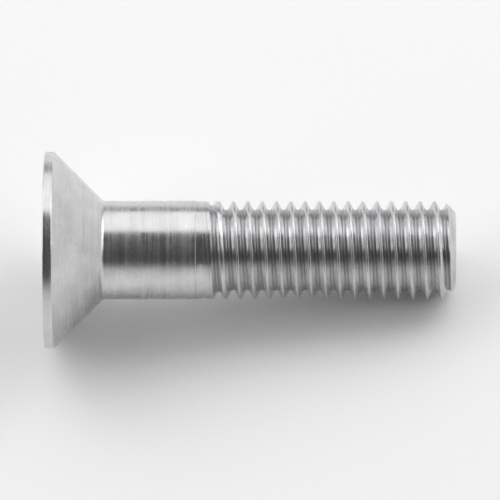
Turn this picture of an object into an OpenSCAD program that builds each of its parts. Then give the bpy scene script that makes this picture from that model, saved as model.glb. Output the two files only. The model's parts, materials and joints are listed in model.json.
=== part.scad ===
// Countersunk socket screw, made from one piece of steel: a flat head on a 90 degree
// cone, a hexagon socket in its face, a short plain shank and a thread that ends in a
// chamfered point.
// It lies as it comes to rest, on the rim of its head and on the last full crest at its
// point. The origin is the centre of the head's face. The axis leaves it towards +X and
// dips by rest_tilt. All sizes are in millimetres and all angles in degrees.

/* [Overall] */
// Length from the face of the head to the end of the point
length = 50; // [42:1:80]
// Diameter of the plain shank, which is the nominal diameter of the thread
nominal_d = 12; // [10:0.5:14]

/* [Head] */
// Diameter of the head, over its straight rim
head_d = 24; // [20:0.5:28]
// Height of the straight rim between the face and the cone
rim_h = 1.1; // [0.5:0.1:2.5]
// Full angle of the cone that seats in the countersink
cone_angle = 90; // [80:1:110]
// Radius on both edges of the rim
edge_r = 0.15; // [0.05:0.05:0.3]
// Radius of the fillet where the cone runs into the shank
neck_r = 0.6; // [0.2:0.1:2]

/* [Socket] */
// Size of the hexagon key, across its flats
key_size = 8; // [5:0.5:9]
// Play between the key and the walls of the socket, across the flats
key_play = 0.1; // [0.02:0.02:0.2]
// Depth to which the six corners of the socket are full
socket_depth = 3.6; // [2.5:0.1:4.5]
// Full angle of the pointed bottom that the forming punch leaves
bottom_angle = 110; // [90:2:130]
// How far the countersunk mouth reaches past the corners
mouth_margin = 0.3; // [0.1:0.05:0.6]
// Full angle of the countersunk mouth
mouth_angle = 120; // [90:5:140]

/* [Thread] */
// Distance from one crest to the next
pitch = 1.75; // [1.5:0.25:2.5]
// Length from the end of the point to the plain shank
thread_length = 31.6; // [20:0.2:38]
// Angle between a flank and a plane square to the axis
flank_angle = 30; // [27.5:0.5:32]
// Depth of the crests below the surface of the plain shank
crest_allowance = 0.05; // [0.02:0.01:0.15]
// Length over which the groove comes up to the surface next to the shank
runout_length = 3.5; // [1.5:0.5:5]

/* [Point] */
// Angle between the chamfer and the axis
chamfer_angle = 45; // [35:5:50]
// Depth of the flat end's edge below the root of the thread
point_inset = 0.2; // [0.15:0.05:0.6]

/* [Hidden] */

// Number of flat steps round the turned surfaces, in one turn of the thread and in each
// rounded edge
$fn = 96;
turn_steps = 40;
edge_steps = 4;
// How far a cutting solid runs past the face that it opens
cut_over = 1;
// How far the threaded end is sunk into the plain shank
sunk = 1;

// Head and shank
head_r = head_d / 2;
shank_r = nominal_d / 2;
cone_half = cone_angle / 2;
head_h = rim_h + (head_r - shank_r) / tan(cone_half);
shank_end = length - thread_length;
// Centre of the rounded edge between rim and cone: [distance from the axis, height]
rim_edge = [head_r - edge_r, rim_h - edge_r * tan(cone_half / 2)];

// Socket
socket_flats = key_size + key_play;
corner_r = socket_flats / 2 / cos(30);
bottom_half = bottom_angle / 2;
bottom_depth = socket_depth + corner_r / tan(bottom_half);
mouth_half = mouth_angle / 2;
mouth_r = corner_r + mouth_margin;

// Thread. The flat crest is an eighth of the pitch wide. The root is rounded where the
// groove is narrower than a quarter of the pitch.
crest_r = shank_r - crest_allowance;
crest_flat = pitch / 8;
shoulder = pitch / 8;
flank_slope = 1 / tan(flank_angle);
flank_depth = (pitch - crest_flat - 2 * shoulder) / 2 * flank_slope;
root_slope = (1 - sin(flank_angle)) / cos(flank_angle);
thread_depth = flank_depth + shoulder * root_slope;
root_r = crest_r - thread_depth;
// Distance from the axis at which the flanks would meet if the root were sharp
sharp_r = crest_r - flank_depth - shoulder * flank_slope;
// The groove begins as a mark without depth, as wide as the flanks are apart at the root.
first_width = 2 * (root_r - sharp_r) / flank_slope;
thread_start = shank_end + first_width;
// Where the groove is still shallow, its shoulders stand at this share of its half width.
shallow_share = 0.6;
// Least distance between two neighbouring places on the groove's section
place_gap = pitch / 100;

// Point. The groove ends where the chamfer has cut its side next to the head away.
point_r = root_r - point_inset;
chamfer_slope = tan(chamfer_angle);
chamfer_start = length - (crest_r - point_r) / chamfer_slope;
groove_end = length - (crest_r - flank_depth - point_r) / chamfer_slope + shoulder;
groove_steps = floor((groove_end - thread_start) / pitch * turn_steps);

// Steps round the thread to the last full crest, and the height of its end. The thread
// is turned so that this crest is on the underside.
crest_steps = floor(((chamfer_start - crest_flat / 2 - thread_start) / pitch - 0.5) * turn_steps);
crest_end = thread_start + (crest_steps / turn_steps + 0.5) * pitch + crest_flat / 2;
thread_turn = -360 * crest_steps / turn_steps;

// Rest: one plane touches the rounded edge of the rim and the end of that crest.
support = [rim_edge[0] - crest_r, crest_end - rim_edge[1]];
rest_tilt = atan(support[0] / support[1]) + asin(edge_r / norm(support));

// Points of an arc in the plane of the outline
function arc(centre, radius, from, to) = [
    for (i = [0:edge_steps])
        let (angle = from + (to - from) * i / edge_steps)
        centre + radius * [cos(angle), sin(angle)]
];

// A value that rises smoothly from 0 to 1
function smooth(x) = x <= 0 ? 0 : x >= 1 ? 1 : x * x * (3 - 2 * x);

// Distance of the chamfer from the axis
function chamfer_r(z) = point_r + (length - z) * chamfer_slope;

// Where the chamfer meets a side of the groove, counted from the groove's middle. The
// side has this radius at the middle and this slope towards the point.
function meeting(middle, radius, slope) = (chamfer_r(middle) - radius) / (slope + chamfer_slope);

// The groove's section, from its edge next to the head to its edge next to the point:
// five places as [distance from the middle, distance from the axis]
function groove_section(middle) =
    let (
        depth = thread_depth * smooth((middle - thread_start) / runout_length),
        open = first_width / 2 + depth / flank_slope,
        side = min(shoulder, open * shallow_share),
        low_r = crest_r - depth * flank_depth / thread_depth,
        shape = [[-open, crest_r], [-side, low_r], [0, crest_r - depth], [side, low_r], [open, crest_r]],
        head_edge = min(open, max(side + place_gap, -meeting(middle, sharp_r, -flank_slope))),
        point_edge = min(
            meeting(middle, sharp_r, flank_slope),
            meeting(middle, root_r, root_slope),
            meeting(middle, root_r, -root_slope)
        ),
        places = [-head_edge, -side, 0, side, open],
        last = len(places) - 1
    )
    [
        for (i = [0:last])
            let (place = min(places[i], point_edge - (last - i) * place_gap))
            [place, min(lookup(place, shape), chamfer_r(middle + place))]
    ];

// One point of the thread's surface. A step is a place along the helix.
function thread_point(step, place) =
    let (
        middle = thread_start + pitch * step / turn_steps,
        section = groove_section(middle)[place],
        angle = 360 * step / turn_steps
    )
    [section[1] * cos(angle), section[1] * sin(angle), middle + section[0]];

// A ring of points round the axis
function ring(r, z) = [
    for (step = [0:turn_steps - 1])
        let (angle = 360 * step / turn_steps)
        [r * cos(angle), r * sin(angle), z]
];

// Two triangles for a patch, given its corners clockwise as seen from outside
function patch(a, b, c, d) = [[a, b, c], [a, c, d]];

// Triangles from a row of points to one tip
function fan(row, tip) = [for (i = [0:len(row) - 2]) [row[i], row[i + 1], tip]];

// Outline of the head and the plain shank, from the middle of the face to the thread
module head_and_shank_outline() {
    neck = [shank_r + neck_r, head_h + neck_r * tan(cone_half / 2)];
    polygon(concat(
        [[0, 0]],
        arc([head_r - edge_r, edge_r], edge_r, -90, 0),
        arc(rim_edge, edge_r, 0, cone_half),
        arc(neck, neck_r, 180 + cone_half, 180),
        [[shank_r, shank_end], [0, shank_end]]
    ));
}

// The room for the key: a hexagon that the punch's pointed end closes, with a
// countersunk mouth
module socket() {
    intersection() {
        translate([0, 0, -cut_over])
            cylinder(h = bottom_depth + cut_over, r = corner_r, $fn = 6);
        translate([0, 0, -cut_over])
            cylinder(h = bottom_depth + cut_over,
                     r1 = (bottom_depth + cut_over) * tan(bottom_half), r2 = 0);
    }
    translate([0, 0, -cut_over])
        cylinder(h = cut_over + mouth_r / tan(mouth_half),
                 r1 = mouth_r + cut_over * tan(mouth_half), r2 = 0);
}

// Head and plain shank, turned from the outline, with the socket cut into the face
module head_and_shank() {
    difference() {
        rotate_extrude()
            head_and_shank_outline();
        socket();
    }
}

// The threaded end, sunk into the shank. Its skin is a band that follows the groove
// along the helix and meets itself one turn further on, closed by a flat at each end.
module threaded_end() {
    places = len(groove_section(thread_start));
    top = places - 1;
    band = [for (step = [0:groove_steps]) for (place = [0:top]) thread_point(step, place)];
    first_ring = len(band);
    last_ring = first_ring + turn_steps;
    last_turn = groove_steps - turn_steps;

    // Numbers of the points on the band, and on the rings at both ends
    function on_band(step, place) = step * places + place;
    function on_first(step) = first_ring + step % turn_steps;
    function on_last(step) = last_ring + step % turn_steps;

    // The groove itself, in steps along the helix
    groove_skin = [
        for (step = [0:groove_steps - 1])
        for (place = [0:top - 1])
        for (face = patch(on_band(step, place), on_band(step, place + 1),
                          on_band(step + 1, place + 1), on_band(step + 1, place))) face
    ];
    // The crest between one turn of the groove and the next
    crest_skin = [
        for (step = [0:last_turn - 1])
        let (next = step + turn_steps)
        for (face = patch(on_band(step, top), on_band(next, 0),
                          on_band(next + 1, 0), on_band(step + 1, top))) face
    ];
    // The surfaces from the shank to the first turn and from the last turn to the end
    first_skin = [
        for (step = [0:turn_steps - 2])
        for (face = patch(on_first(step), on_band(step, 0),
                          on_band(step + 1, 0), on_first(step + 1))) face
    ];
    last_skin = [
        for (step = [last_turn + 1:groove_steps - 1])
        for (face = patch(on_band(step, top), on_last(step),
                          on_last(step + 1), on_band(step + 1, top))) face
    ];
    // The groove's first and last section, each closed from the next column of points
    first_fan = fan(
        [on_band(turn_steps, 0), for (place = [top:-1:0]) on_band(0, place),
         on_first(0), on_first(turn_steps - 1)],
        on_band(turn_steps - 1, 0)
    );
    last_fan = fan(
        [on_band(last_turn, top), for (place = [0:top]) on_band(groove_steps, place),
         on_last(groove_steps), on_last(groove_steps + 1)],
        on_band(last_turn + 1, top)
    );
    first_flat = [for (step = [0:turn_steps - 1]) on_first(step)];
    last_flat = [for (step = [turn_steps - 1:-1:0]) on_last(step)];

    rotate([0, 0, thread_turn])
        polyhedron(
            points = concat(band, ring(crest_r, shank_end - sunk), ring(point_r, length)),
            faces = concat(groove_skin, crest_skin, first_skin, last_skin, first_fan, last_fan,
                           [first_flat, last_flat]),
            convexity = 10
        );
}

// The whole screw, laid down
module screw() {
    color("silver")
        rotate([0, 90 + rest_tilt, 0]) {
            head_and_shank();
            threaded_end();
        }
}

screw();
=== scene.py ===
import json
import math

import bpy
from mathutils import Matrix, Vector


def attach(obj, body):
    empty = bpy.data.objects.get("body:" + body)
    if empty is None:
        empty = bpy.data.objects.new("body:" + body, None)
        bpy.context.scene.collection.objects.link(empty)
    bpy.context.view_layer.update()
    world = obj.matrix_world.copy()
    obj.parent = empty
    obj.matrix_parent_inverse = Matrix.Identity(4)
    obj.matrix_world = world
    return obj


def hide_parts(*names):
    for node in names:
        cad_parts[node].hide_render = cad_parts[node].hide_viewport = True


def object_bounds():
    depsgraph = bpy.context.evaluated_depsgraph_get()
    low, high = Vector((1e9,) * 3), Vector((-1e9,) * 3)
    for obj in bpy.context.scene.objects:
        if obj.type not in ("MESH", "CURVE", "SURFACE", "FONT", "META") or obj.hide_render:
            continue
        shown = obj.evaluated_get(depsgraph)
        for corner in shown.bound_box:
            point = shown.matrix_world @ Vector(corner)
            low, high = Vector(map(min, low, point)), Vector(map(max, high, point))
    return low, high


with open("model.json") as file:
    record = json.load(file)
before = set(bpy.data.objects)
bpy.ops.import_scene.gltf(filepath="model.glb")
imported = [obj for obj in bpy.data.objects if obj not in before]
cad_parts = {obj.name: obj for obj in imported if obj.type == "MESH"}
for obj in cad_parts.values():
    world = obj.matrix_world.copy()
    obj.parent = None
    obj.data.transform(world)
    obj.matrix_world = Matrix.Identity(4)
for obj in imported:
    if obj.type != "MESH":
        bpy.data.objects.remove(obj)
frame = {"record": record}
cadBox = [list(corner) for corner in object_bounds()]
bpy.ops.object.select_all(action="DESELECT")

# The screw is modelled in millimetres, upright on its own axis, with the head's face at
# height zero and the point on top. It is laid down and brought to metres at the end.
mm = 0.001
finest = 0.0005  # points closer together than this are one point
mounts = {mount["name"]: mount for mount in frame["record"]["mounts"]}
screwAxis = Vector(mounts["shank"]["axis"])
restTurn = math.acos(screwAxis.z)  # from upright to the way it lies


def mountSize(name, size):
    return mounts[name]["dims"][size]


def mountPlace(name):  # how far along the axis the mount lies, from the head's face
    return Vector(mounts[name]["pos_m"]).length / mm


headR = mountSize("countersink_seat", "r_mm")
shankR = mountSize("shank", "r_mm")
crestR = mountSize("thread", "r_mm")
keyHalf = mountSize("hex_socket", "r_mm")
keyDepth = mountSize("hex_socket", "length_mm")
rimEnd = mountPlace("countersink_seat")
coneEnd = rimEnd + mountSize("countersink_seat", "length_mm")
threadBegin = mountPlace("thread") - mountSize("thread", "length_mm") / 2
screwEnd = mountPlace("thread") + mountSize("thread", "length_mm") / 2

around = 200  # steps round the screw, the same for the blank and for each turn of thread


def activate(obj):
    bpy.ops.object.select_all(action="DESELECT")
    obj.select_set(True)
    bpy.context.view_layer.objects.active = obj


def editMode(obj, selectMode, action):
    activate(obj)
    bpy.ops.object.mode_set(mode="EDIT")
    bpy.ops.mesh.select_mode(type=selectMode)
    bpy.ops.mesh.select_all(action=action)


def applyModifier(obj, kind, **settings):
    activate(obj)
    modifier = obj.modifiers.new(kind.lower(), kind)
    for name, value in settings.items():
        setattr(modifier, name, value)
    bpy.ops.object.modifier_apply(modifier=modifier.name)


def cut(obj, cutter, operation="DIFFERENCE"):
    applyModifier(obj, "BOOLEAN", operation=operation, object=cutter, solver="MANIFOLD")
    bpy.data.objects.remove(cutter)
    editMode(obj, "VERT", "SELECT")
    bpy.ops.mesh.remove_doubles(threshold=finest)
    bpy.ops.mesh.dissolve_degenerate(threshold=finest)
    bpy.ops.object.mode_set(mode="OBJECT")


def arcPoints(centre, radius, start, end, steps):
    angles = [math.radians(start + (end - start) * step / steps) for step in range(steps + 1)]
    return [(centre[0] + radius * math.cos(a), centre[1] + radius * math.sin(a)) for a in angles]


def drawOutline(name, points):
    # One vertex, extruded from point to point in the XZ plane, and left in edit mode
    bpy.ops.mesh.primitive_plane_add(size=1)
    outline = bpy.context.object
    outline.name = name
    editMode(outline, "VERT", "SELECT")
    bpy.ops.mesh.merge(type="CENTER")
    here = Vector((0, 0, 0))
    for number, (x, z) in enumerate(points):
        step = Vector((x, 0, z)) - here
        if number == 0:
            bpy.ops.transform.translate(value=step)
        else:
            bpy.ops.mesh.extrude_vertices_move(TRANSFORM_OT_translate={"value": step})
        here += step
    bpy.ops.mesh.select_all(action="SELECT")
    return outline


# Thread: its crests are an eighth of the pitch wide, and its roots are rounded
thread = {
    "pitch": 1.75,
    "flankAngle": 30,  # between a flank and a plane square to the axis
    "rootSteps": 6,
    "crestSoftness": 0.025,
    "runOut": 3.5,  # along this length the groove rises out of the shank
    "startGap": 0.03,  # and its first end stands clear by this much
    "wallR": 6.6,  # the cutter reaches out this far
    "placeSteps": 40,  # the last full crest lies underneath to the nearest of these
}
pitch = thread["pitch"]
crestFlat = pitch / 8
rootHalf = pitch / 8  # from the root's middle to where it runs into a flank
flankAngle = thread["flankAngle"]
flankSlope = math.tan(math.radians(flankAngle))
rootArc = rootHalf / math.cos(math.radians(flankAngle))
sharpR = crestR - (pitch - crestFlat) / 2 / flankSlope  # where the flanks would meet
rootR = sharpR + rootArc

# The turned blank: head, neck, plain shank and the chamfered length for the thread
blank = {
    "edgeRadius": 0.15,  # of both edges of the head's rim
    "edgeSteps": 5,
    "neckRadius": 0.6,  # where the cone runs into the shank
    "neckSteps": 10,
    "stepLength": 0.05,  # from the plain shank down to the thread's crests
    "pointInset": 0.2,  # the flat end lies this much inside the thread's roots
}
coneHalf = math.degrees(math.atan((headR - shankR) / (coneEnd - rimEnd)))
pointR = rootR - blank["pointInset"]
chamferBegin = screwEnd - (crestR - pointR)  # the chamfer stands at 45 degrees


def turnBlank():
    print("turning the blank")
    edge = blank["edgeRadius"]
    neck = blank["neckRadius"]
    reach = math.tan(math.radians(coneHalf / 2))  # of a rounding, along the sides of its corner
    outline = [(0, 0)]
    outline += arcPoints((headR - edge, edge), edge, -90, 0, blank["edgeSteps"])
    outline += arcPoints((headR - edge, rimEnd - edge * reach), edge, 0, coneHalf, blank["edgeSteps"])
    neckPlace = (shankR + neck, coneEnd + neck * reach)
    outline += arcPoints(neckPlace, neck, 180 + coneHalf, 180, blank["neckSteps"])
    outline += [
        (shankR, threadBegin - blank["stepLength"]),
        (crestR, threadBegin),
        (crestR, chamferBegin),
        (pointR, screwEnd),
        (0, screwEnd),
    ]
    screw = drawOutline("socketScrew", outline)
    bpy.ops.mesh.spin(steps=around, angle=math.tau, center=(0, 0, 0), axis=(0, 0, 1))
    bpy.ops.mesh.select_all(action="SELECT")
    bpy.ops.mesh.remove_doubles(threshold=finest)
    bpy.ops.mesh.normals_make_consistent(inside=False)
    bpy.ops.object.mode_set(mode="OBJECT")
    return screw


# The room for the key: a hexagon that ends in the punch's blunt point, with a
# countersunk mouth
socket = {
    "bottomHalf": 55,  # half the angle of the punch's point
    "mouthHalf": 60,
    "mouthMargin": 0.3,  # how far the mouth stands outside the corners
    "above": 1.0,  # the cutters stand out of the face by this much
}
halfSide = math.radians(30)  # from the middle of a hexagon's side round to its corner
cornerR = keyHalf / math.cos(halfSide)
bottomEnd = keyDepth + cornerR / math.tan(math.radians(socket["bottomHalf"]))
mouthR = cornerR + socket["mouthMargin"]
mouthEnd = mouthR / math.tan(math.radians(socket["mouthHalf"]))


def addCone(end, half):
    # Its tip is at this height, and it widens downwards, past the head's face
    length = end + socket["above"]
    bpy.ops.mesh.primitive_cone_add(
        vertices=around, radius1=length * math.tan(math.radians(half)), depth=length,
        location=(0, 0, end - length / 2))
    return bpy.context.object


def cutSocket(screw):
    # Two corners of the hexagon stand upright in the end view
    print("cutting the socket")
    length = bottomEnd + socket["above"]
    bpy.ops.mesh.primitive_cylinder_add(
        vertices=6, radius=cornerR, depth=length, location=(0, 0, bottomEnd - length / 2),
        rotation=(0, 0, halfSide))
    hexagon = bpy.context.object
    cut(hexagon, addCone(bottomEnd, socket["bottomHalf"]), "INTERSECT")
    cut(screw, hexagon)
    cut(screw, addCone(mouthEnd, socket["mouthHalf"]))


def inSocket(place):  # also true of the head's face round the mouth
    return place.z < coneEnd and place.xy.length < shankR


# Fine rounding of the edges that the tools left
edges = {
    "width": 0.04,
    "steps": 2,
    "sharpAngle": 30,
    "smoothAngle": 35,
}


def softenEdges(screw):
    # Only the sharp edges of the socket and of the point
    print("softening the edges")
    editMode(screw, "EDGE", "DESELECT")
    bpy.ops.mesh.edges_select_sharp(sharpness=math.radians(edges["sharpAngle"]))
    bpy.ops.object.mode_set(mode="OBJECT")
    points = screw.data.vertices
    for edge in screw.data.edges:
        middle = sum((points[number].co for number in edge.vertices), Vector()) / 2
        atPoint = middle.z > chamferBegin - finest
        edge.select = edge.select and (inSocket(middle) or atPoint)
    bpy.ops.object.mode_set(mode="EDIT")
    bpy.ops.mesh.bevel(offset=edges["width"], segments=edges["steps"], profile=0.5, affect="EDGES")
    bpy.ops.object.mode_set(mode="OBJECT")


# The groove begins as a mark without depth, where the shank has come down to the crests.
# The mark is as wide as the flanks are apart at the root, and turns are counted from it.
# The last full crest is the last one whose flat ends before the chamfer.
threadStart = threadBegin + 2 * (rootR - sharpR) * flankSlope
lastCrest = (chamferBegin - crestFlat / 2 - threadStart) / pitch - 0.5
lastCrest = math.floor(lastCrest * thread["placeSteps"]) / thread["placeSteps"]


def grooveOutline():
    # The groove's section: wall, crest corner, flank, root, flank, crest corner, wall
    soft = thread["crestSoftness"]
    flankHalf = (crestR - soft - sharpR) * flankSlope
    wallHalf = flankHalf + soft / flankSlope
    root = arcPoints(
        (rootR + rootArc, 0), rootArc, 270 - flankAngle, 90 + flankAngle, thread["rootSteps"])
    lower = [(thread["wallR"], -wallHalf), (crestR, -wallHalf), (crestR - soft, -flankHalf)]
    upper = [(x, -z) for x, z in reversed(lower)]
    return lower + root + upper


def cutThread(screw):
    print("cutting the thread")
    outline = grooveOutline()
    groove = drawOutline("groove", outline)
    bpy.ops.mesh.edge_face_add()
    bpy.ops.mesh.delete(type="ONLY_FACE")
    bpy.ops.object.mode_set(mode="OBJECT")
    turns = math.ceil((screwEnd - threadStart) / pitch) + 1
    applyModifier(
        groove, "SCREW", axis="Z", angle=math.tau, screw_offset=pitch, iterations=turns,
        steps=around, render_steps=around, use_merge_vertices=False)
    # Lifted smoothly out of the shank where the thread runs out
    for vertex in groove.data.vertices:
        along = vertex.index // len(outline) / around * pitch / thread["runOut"]
        if along < 1:
            lift = (crestR - rootR + thread["startGap"]) * (1 - along * along * (3 - 2 * along))
            radius = vertex.co.xy.length
            vertex.co.xy *= (radius + lift) / radius
    # Closed at both ends and turned to its place
    editMode(groove, "EDGE", "DESELECT")
    bpy.ops.mesh.select_non_manifold()
    bpy.ops.mesh.edge_face_add()
    bpy.ops.mesh.select_all(action="SELECT")
    bpy.ops.mesh.normals_make_consistent(inside=False)
    bpy.ops.object.mode_set(mode="OBJECT")
    groove.rotation_euler.z = -math.tau * lastCrest
    groove.location.z = threadStart
    cut(screw, groove)


def layDown(screw):
    print("laying the screw down")
    activate(screw)
    screw.rotation_euler.y = restTurn
    screw.scale = (mm, mm, mm)
    bpy.ops.object.transform_apply(rotation=True, scale=True)
    bpy.ops.object.shade_smooth_by_angle(angle=math.radians(edges["smoothAngle"]))
    applyModifier(screw, "WEIGHTED_NORMAL", keep_sharp=True)


def addNode(tree, kind, links=None, values=None, **settings):
    node = tree.nodes.new("ShaderNode" + kind)
    for name, value in settings.items():
        setattr(node, name, value)
    for name, value in (values or {}).items():
        node.inputs[name].default_value = value
    for name, source in (links or {}).items():
        tree.links.new(source, node.inputs[name])
    return node


def calculate(tree, operation, *sources):
    node = addNode(tree, "Math", operation=operation)
    for number, source in enumerate(sources):
        if isinstance(source, (int, float)):
            node.inputs[number].default_value = source
        else:
            tree.links.new(source, node.inputs[number])
    return node.outputs["Value"]


def rangeOf(tree, source, low, high, toLow=0.0, toHigh=1.0):
    node = addNode(
        tree, "MapRange", interpolation_type="SMOOTHSTEP", links={"Value": source},
        values={"From Min": low, "From Max": high, "To Min": toLow, "To Max": toHigh})
    return node.outputs["Result"]


def noiseOf(tree, place, scale, detail, roughness=0.5):
    node = addNode(
        tree, "TexNoise", links={"Vector": place},
        values={"Scale": scale, "Detail": detail, "Roughness": roughness})
    return node.outputs["Fac"]


def addGroup(tree, group, links, values=None):
    return addNode(tree, "Group", node_tree=group, links=links, values=values).outputs


def newGroup(name, inputs, outputs):
    group = bpy.data.node_groups.new(name, "ShaderNodeTree")
    for label, kind in inputs.items():
        group.interface.new_socket(label, in_out="INPUT", socket_type="NodeSocket" + kind)
    for label in outputs:
        group.interface.new_socket(label, in_out="OUTPUT", socket_type="NodeSocketFloat")
    given = group.nodes.new("NodeGroupInput").outputs
    result = group.nodes.new("NodeGroupOutput").inputs
    return group, given, result


def buildRound():
    # Distance from the axis, height along it, the turn round it, which begins and ends
    # underneath, and height less distance, which changes all the way along the outline
    group, given, result = newGroup(
        "roundTheAxis", {"Place": "Vector"}, ["Radius", "Height", "Turn", "Slant"])
    parts = addNode(group, "SeparateXYZ", links={"Vector": given["Place"]}).outputs
    flat = addNode(group, "CombineXYZ", links={"X": parts["X"], "Y": parts["Y"]}).outputs["Vector"]
    radius = addNode(group, "VectorMath", operation="LENGTH", links={"Vector": flat}).outputs["Value"]
    turn = calculate(group, "DIVIDE", calculate(group, "ARCTAN2", parts["Y"], parts["X"]), math.tau)
    group.links.new(radius, result["Radius"])
    group.links.new(parts["Z"], result["Height"])
    group.links.new(calculate(group, "FRACT", turn), result["Turn"])
    group.links.new(calculate(group, "SUBTRACT", parts["Z"], radius), result["Slant"])
    return group


# The rolls leave the crests duller and darker than the flanks, and the roots duller. The roots
# are also darker, which is painted shade in the groove. Both begin and are full this far from the
# middle of the groove, in shares of the pitch, and a root's painted shade grows over these depths
# in millimetres, so that it fades where the groove runs out
crests = {"begin": 0.42, "full": 0.46, "tone": 0.92, "rough": 0.08}
rootShade = {"begin": 0.17, "full": 0.06, "tone": 0.6, "rough": 0.14, "depths": (0.15, 0.8)}


def buildHelix():
    # Where a point lies from one crest to the next: halfway is the middle of the groove
    group, given, result = newGroup(
        "alongTheHelix", {"Radius": "Float", "Height": "Float", "Turn": "Float"},
        ["Across", "Crest", "ShadedRoot"])
    turns = calculate(group, "SUBTRACT", given["Height"], threadStart)
    turns = calculate(group, "SUBTRACT", calculate(group, "DIVIDE", turns, pitch), given["Turn"])
    share = calculate(group, "FRACT", calculate(group, "ADD", turns, 0.5 - lastCrest % 1))
    off = calculate(group, "ABSOLUTE", calculate(group, "SUBTRACT", share, 0.5))
    group.links.new(calculate(group, "MULTIPLY", share, pitch), result["Across"])
    group.links.new(rangeOf(group, off, crests["begin"], crests["full"]), result["Crest"])
    # Painted shade: a root darkens the deeper it lies below the crests
    depth = calculate(group, "SUBTRACT", crestR, given["Radius"])
    deep = rangeOf(group, depth, *rootShade["depths"])
    root = calculate(group, "MULTIPLY", deep, rangeOf(group, off, rootShade["begin"], rootShade["full"]))
    group.links.new(root, result["ShadedRoot"])
    return group


def buildLines():
    # Lines that a tool leaves: they change fast across and drift slowly along
    group, given, result = newGroup(
        "toolLines", {"Drift": "Vector", "Across": "Float", "Per mm": "Float"}, ["Lines"])
    parts = addNode(group, "SeparateXYZ", links={"Vector": given["Drift"]}).outputs
    across = calculate(group, "MULTIPLY", given["Across"], given["Per mm"])
    drawn = addNode(group, "CombineXYZ", links={"X": parts["X"], "Y": parts["Y"], "Z": across})
    lines = noiseOf(group, drawn.outputs["Vector"], scale=1.0, detail=4.0, roughness=0.6)
    group.links.new(lines, result["Lines"])
    return group


# Short straight scratches from other screws, in a few directions, on a surface that is
# flat or unrolled
scratches = {
    "turns": [12, 74, 128],  # degrees
    "stretch": (0.9, 14, 1),  # the noise's size in millimetres, across them and along
    "width": 0.012,  # a scratch lies where the noise is this near to its middle value
    "gapScale": 2.7,  # the noise that leaves gaps in them is this much finer
}


def buildScratches():
    group, given, result = newGroup("scratches", {"Flat": "Vector", "Share": "Float"}, ["Marks"])
    marks = 0.0
    for turn in scratches["turns"]:
        turned = addNode(
            group, "Mapping", vector_type="TEXTURE", links={"Vector": given["Flat"]},
            values={
                "Location": (turn, 0, 0), "Rotation": (0, 0, math.radians(turn)),
                "Scale": scratches["stretch"]}).outputs["Vector"]
        wave = noiseOf(group, turned, scale=1.0, detail=1.0)
        off = calculate(group, "ABSOLUTE", calculate(group, "SUBTRACT", wave, 0.5))
        line = calculate(group, "SUBTRACT", 1.0, calculate(group, "DIVIDE", off, scratches["width"]))
        gaps = noiseOf(group, turned, scratches["gapScale"], detail=0.0)
        here = calculate(group, "GREATER_THAN", given["Share"], gaps)
        marks = calculate(group, "MAXIMUM", calculate(group, "MULTIPLY", line, here), marks)
    group.links.new(marks, result["Marks"])
    return group


# Each finish: whether its surface is flat or round, how its lines run, how many there are
# to a millimetre, how deep they are and how much they drift, the range of its roughness,
# its darkest and lightest tone, and its share of scratches and their depth
finishes = {
    "turnedFace": {
        "surface": "flat", "run": "round", "lines": 2.8, "depth": 0.028, "drift": 0.05,
        "rough": (0.2, 0.34), "tones": (0.57, 0.66), "scratched": 0.38, "scratchDepth": 0.002},
    "smoothShank": {
        "surface": "round", "run": "round", "lines": 2.0, "depth": 0.008, "drift": 0.05,
        "rough": (0.21, 0.32), "tones": (0.6, 0.66), "scratched": 0.36, "scratchDepth": 0.0015},
    "rolledThread": {
        "surface": "round", "run": "helix", "lines": 5.0, "depth": 0.005, "drift": 0.12,
        "rough": (0.16, 0.28), "tones": (0.58, 0.66), "scratched": 0.34, "scratchDepth": 0.002},
    "croppedEnd": {
        "surface": "flat", "run": "round", "lines": 1.6, "depth": 0.03, "drift": 0.25,
        "rough": (0.26, 0.42), "tones": (0.54, 0.62), "scratched": 0.44, "scratchDepth": 0.003},
    "punchedWalls": {
        "surface": "round", "run": "lengthwise", "lines": 3.0, "depth": 0.02, "drift": 0.25,
        "rough": (0.22, 0.38), "tones": (0.52, 0.62), "scratched": 0.3, "scratchDepth": 0.002},
    "punchedBottom": {
        "surface": "flat", "run": "round", "lines": 1.6, "depth": 0.008, "drift": 0.2,
        "rough": (0.24, 0.38), "tones": (0.54, 0.63), "scratched": 0.36, "scratchDepth": 0.002},
}
steelTint = {"Red": 0.995, "Green": 0.995, "Blue": 1.01}
clouds = {"scale": 0.4, "detail": 4.0, "rough": 0.04}  # the scale is to a millimetre
noiseSpan = (0.3, 0.7)  # nearly all of a noise's values lie between these
noiseCore = (0.35, 0.65)  # and most of them between these
lineTone = 0.035  # a line is darker or lighter by this much
scratchTone = 0.06  # and a scratch is lighter


def addLines(tree, group, finish, place, spot, across):
    # Round the axis or along the helix, or else lengthwise on the socket's walls
    if finish["run"] == "lengthwise":
        across = calculate(tree, "MULTIPLY", spot["Turn"], math.tau * cornerR)
        along = calculate(tree, "MULTIPLY", spot["Height"], finish["drift"])
        drift = addNode(tree, "CombineXYZ", links={"X": along}).outputs["Vector"]
    else:
        drift = addNode(
            tree, "VectorMath", operation="SCALE", links={"Vector": place},
            values={"Scale": finish["drift"]}).outputs["Vector"]
    links = {"Drift": drift, "Across": across}
    return addGroup(tree, group, links, {"Per mm": finish["lines"]})["Lines"]


def addMarks(tree, group, finish, place, spot):
    # Scratches lie on the flat or on the unrolled surface
    flat = place
    if finish["surface"] == "round":
        unrolled = calculate(tree, "MULTIPLY", spot["Turn"], math.tau * shankR)
        links = {"X": unrolled, "Y": spot["Slant"]}
        flat = addNode(tree, "CombineXYZ", links=links).outputs["Vector"]
    return addGroup(tree, group, {"Flat": flat}, {"Share": finish["scratched"]})["Marks"]


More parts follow.
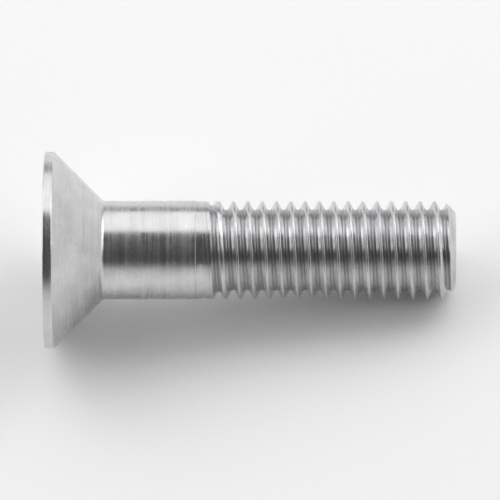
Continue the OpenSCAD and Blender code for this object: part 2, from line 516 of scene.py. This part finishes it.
def addShades(tree, finish, place, lines, marks):
    # The steel's tone and its roughness, both with soft clouds
    cloud = noiseOf(tree, place, clouds["scale"], clouds["detail"])
    tone = rangeOf(tree, cloud, *noiseSpan, *finish["tones"])
    tone = calculate(tree, "ADD", tone, rangeOf(tree, lines, *noiseCore, -lineTone, lineTone))
    tone = calculate(tree, "MULTIPLY_ADD", marks, scratchTone, tone)
    rough = rangeOf(tree, lines, *noiseSpan, *finish["rough"])
    cloudRough = rangeOf(tree, cloud, *noiseSpan, clouds["rough"], -clouds["rough"])
    return tone, calculate(tree, "ADD", rough, cloudRough)


def makeFinish(name, groups):
    finish = finishes[name]
    material = bpy.data.materials.new(name)
    material.use_nodes = True
    tree = material.node_tree
    tree.nodes.clear()

    # Object coordinates, turned upright and brought to millimetres
    coordinates = addNode(tree, "TexCoord").outputs["Object"]
    place = addNode(
        tree, "Mapping", links={"Vector": coordinates},
        values={"Rotation": (0, -restTurn, 0), "Scale": (1 / mm,) * 3}).outputs["Vector"]
    spot = addGroup(tree, groups["round"], {"Place": place})
    across = spot["Slant"]
    if finish["run"] == "helix":
        helix = addGroup(
            tree, groups["helix"], {part: spot[part] for part in ("Radius", "Height", "Turn")})
        across = helix["Across"]

    lines = addLines(tree, groups["lines"], finish, place, spot, across)
    marks = addMarks(tree, groups["scratches"], finish, place, spot)
    tone, rough = addShades(tree, finish, place, lines, marks)
    if finish["run"] == "helix":
        # The crests get their duller rolled tone, and the roots painted shade and a rougher finish
        for zone, change in (("Crest", crests), ("ShadedRoot", rootShade)):
            darker = rangeOf(tree, helix[zone], 0, 1, 1, change["tone"])
            tone = calculate(tree, "MULTIPLY", tone, darker)
            rough = calculate(tree, "MULTIPLY_ADD", helix[zone], change["rough"], rough)
    colour = addNode(tree, "CombineColor", links={
        channel: calculate(tree, "MULTIPLY", tone, tint) for channel, tint in steelTint.items()})
    linesBump = addNode(
        tree, "Bump", links={"Height": lines}, values={"Distance": finish["depth"] * mm})
    marksBump = addNode(
        tree, "Bump", links={"Height": marks, "Normal": linesBump.outputs["Normal"]},
        values={"Distance": finish["scratchDepth"] * mm}, invert=True)
    shader = addNode(
        tree, "BsdfPrincipled", values={"Metallic": 1.0}, links={
            "Base Color": colour.outputs["Color"], "Roughness": rough,
            "Normal": marksBump.outputs["Normal"]})
    addNode(tree, "OutputMaterial", links={"Surface": shader.outputs["BSDF"]})
    return material


wallLean = 0.2  # along the axis, the normal of a socket wall leans less than this


def finishOf(face):
    height = face.center.z
    if height < finest:
        return "turnedFace"
    if height > screwEnd - finest:
        return "croppedEnd"
    if height > threadBegin:
        return "rolledThread"
    if inSocket(face.center):
        return "punchedWalls" if abs(face.normal.z) < wallLean else "punchedBottom"
    return "smoothShank"


def dressScrew(screw):
    print("dressing the screw")
    groups = {
        "round": buildRound(),
        "helix": buildHelix(),
        "lines": buildLines(),
        "scratches": buildScratches(),
    }
    screw.data.materials.clear()  # the cuts leave an empty slot
    for name in finishes:
        screw.data.materials.append(makeFinish(name, groups))
    order = list(finishes)
    for face in screw.data.polygons:
        face.material_index = order.index(finishOf(face))


# A plain pale floor, soft lamps, and a long lens that looks square on the screw's axis
studio = {
    "floorSize": 1.3,
    "floorColour": (0.94, 0.94, 0.94),
    # The sky's heights run from 0 at the horizon to 1 overhead
    "sky": {"palest": 0.0, "darkest": 0.45, "tones": (0.74, 0.07)},
    "lens": 450,
    "sensor": 36,
    "elevation": 55,  # degrees from level up to the camera, square to the screw's axis
    "screwShare": 0.82,  # of the picture's width
    "lamps": {
        # azimuth and elevation, distance, length and height, watts
        "key": ((170, 52), 0.8, (1.5, 0.9), 5.2),
        "right": ((95, 42), 0.8, (1.0, 0.8), 3.3),
        "left": ((-100, 42), 0.8, (1.0, 0.8), 3.3),
    },
}


def makeFloor():
    bpy.ops.mesh.primitive_plane_add(size=studio["floorSize"], location=(0, 0, cadBox[0][2]))
    floor = bpy.context.object
    floor.name = "floor"
    material = bpy.data.materials.new("paleFloor")
    material.use_nodes = True
    shader = material.node_tree.nodes["Principled BSDF"]
    shader.inputs["Base Color"].default_value = (*studio["floorColour"], 1)
    shader.inputs["Roughness"].default_value = 0.9
    shader.inputs["Specular IOR Level"].default_value = 0
    floor.data.materials.append(material)


def makeLamps(centre):
    for name, ((azimuth, elevation), distance, size, watts) in studio["lamps"].items():
        a, e = math.radians(azimuth), math.radians(elevation)
        away = Vector((math.sin(a) * math.cos(e), -math.cos(a) * math.cos(e), math.sin(e)))
        bpy.ops.object.light_add(type="AREA", location=centre + away * distance)
        lamp = bpy.context.object
        lamp.name = name
        lamp.data.shape = "RECTANGLE"
        lamp.data.size, lamp.data.size_y = size
        lamp.data.energy = watts
        lamp.rotation_euler = away.to_track_quat("Z", "Y").to_euler()
        lamp.visible_camera = False


def makeSky():
    world = bpy.data.worlds.new("studio")
    world.use_nodes = True
    tree = world.node_tree
    upwards = addNode(tree, "TexCoord").outputs["Generated"]
    height = addNode(tree, "SeparateXYZ", links={"Vector": upwards}).outputs["Z"]
    sky = studio["sky"]
    colour = rangeOf(tree, height, sky["palest"], sky["darkest"], *sky["tones"])
    tree.links.new(colour, tree.nodes["Background"].inputs["Color"])
    bpy.context.scene.world = world


def makeCamera(centre):
    # Square on the screw's axis, with the axis level in the picture
    elevation = math.radians(studio["elevation"])
    upSide = Vector((0, -1, 0)).cross(screwAxis)
    back = Vector((0, -1, 0)) * math.cos(elevation) + upSide * math.sin(elevation)
    distance = screwEnd * mm / studio["screwShare"] * studio["lens"] / studio["sensor"]
    bpy.ops.object.camera_add(location=centre + back * distance)
    camera = bpy.context.object
    camera.data.lens = studio["lens"]
    camera.data.sensor_width = studio["sensor"]
    camera.data.clip_start, camera.data.clip_end = 0.01, 20
    camera.rotation_euler = Matrix((screwAxis, back.cross(screwAxis), back)).transposed().to_euler()
    bpy.context.scene.camera = camera


screw = turnBlank()
cutSocket(screw)
softenEdges(screw)
cutThread(screw)
dressScrew(screw)
layDown(screw)
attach(screw, "root")
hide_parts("screw")

print("setting up the studio")
middle = screwAxis * screwEnd * mm / 2
makeFloor()
makeLamps(middle)
makeSky()
makeCamera(middle)
bpy.context.scene.view_settings.view_transform = "Standard"
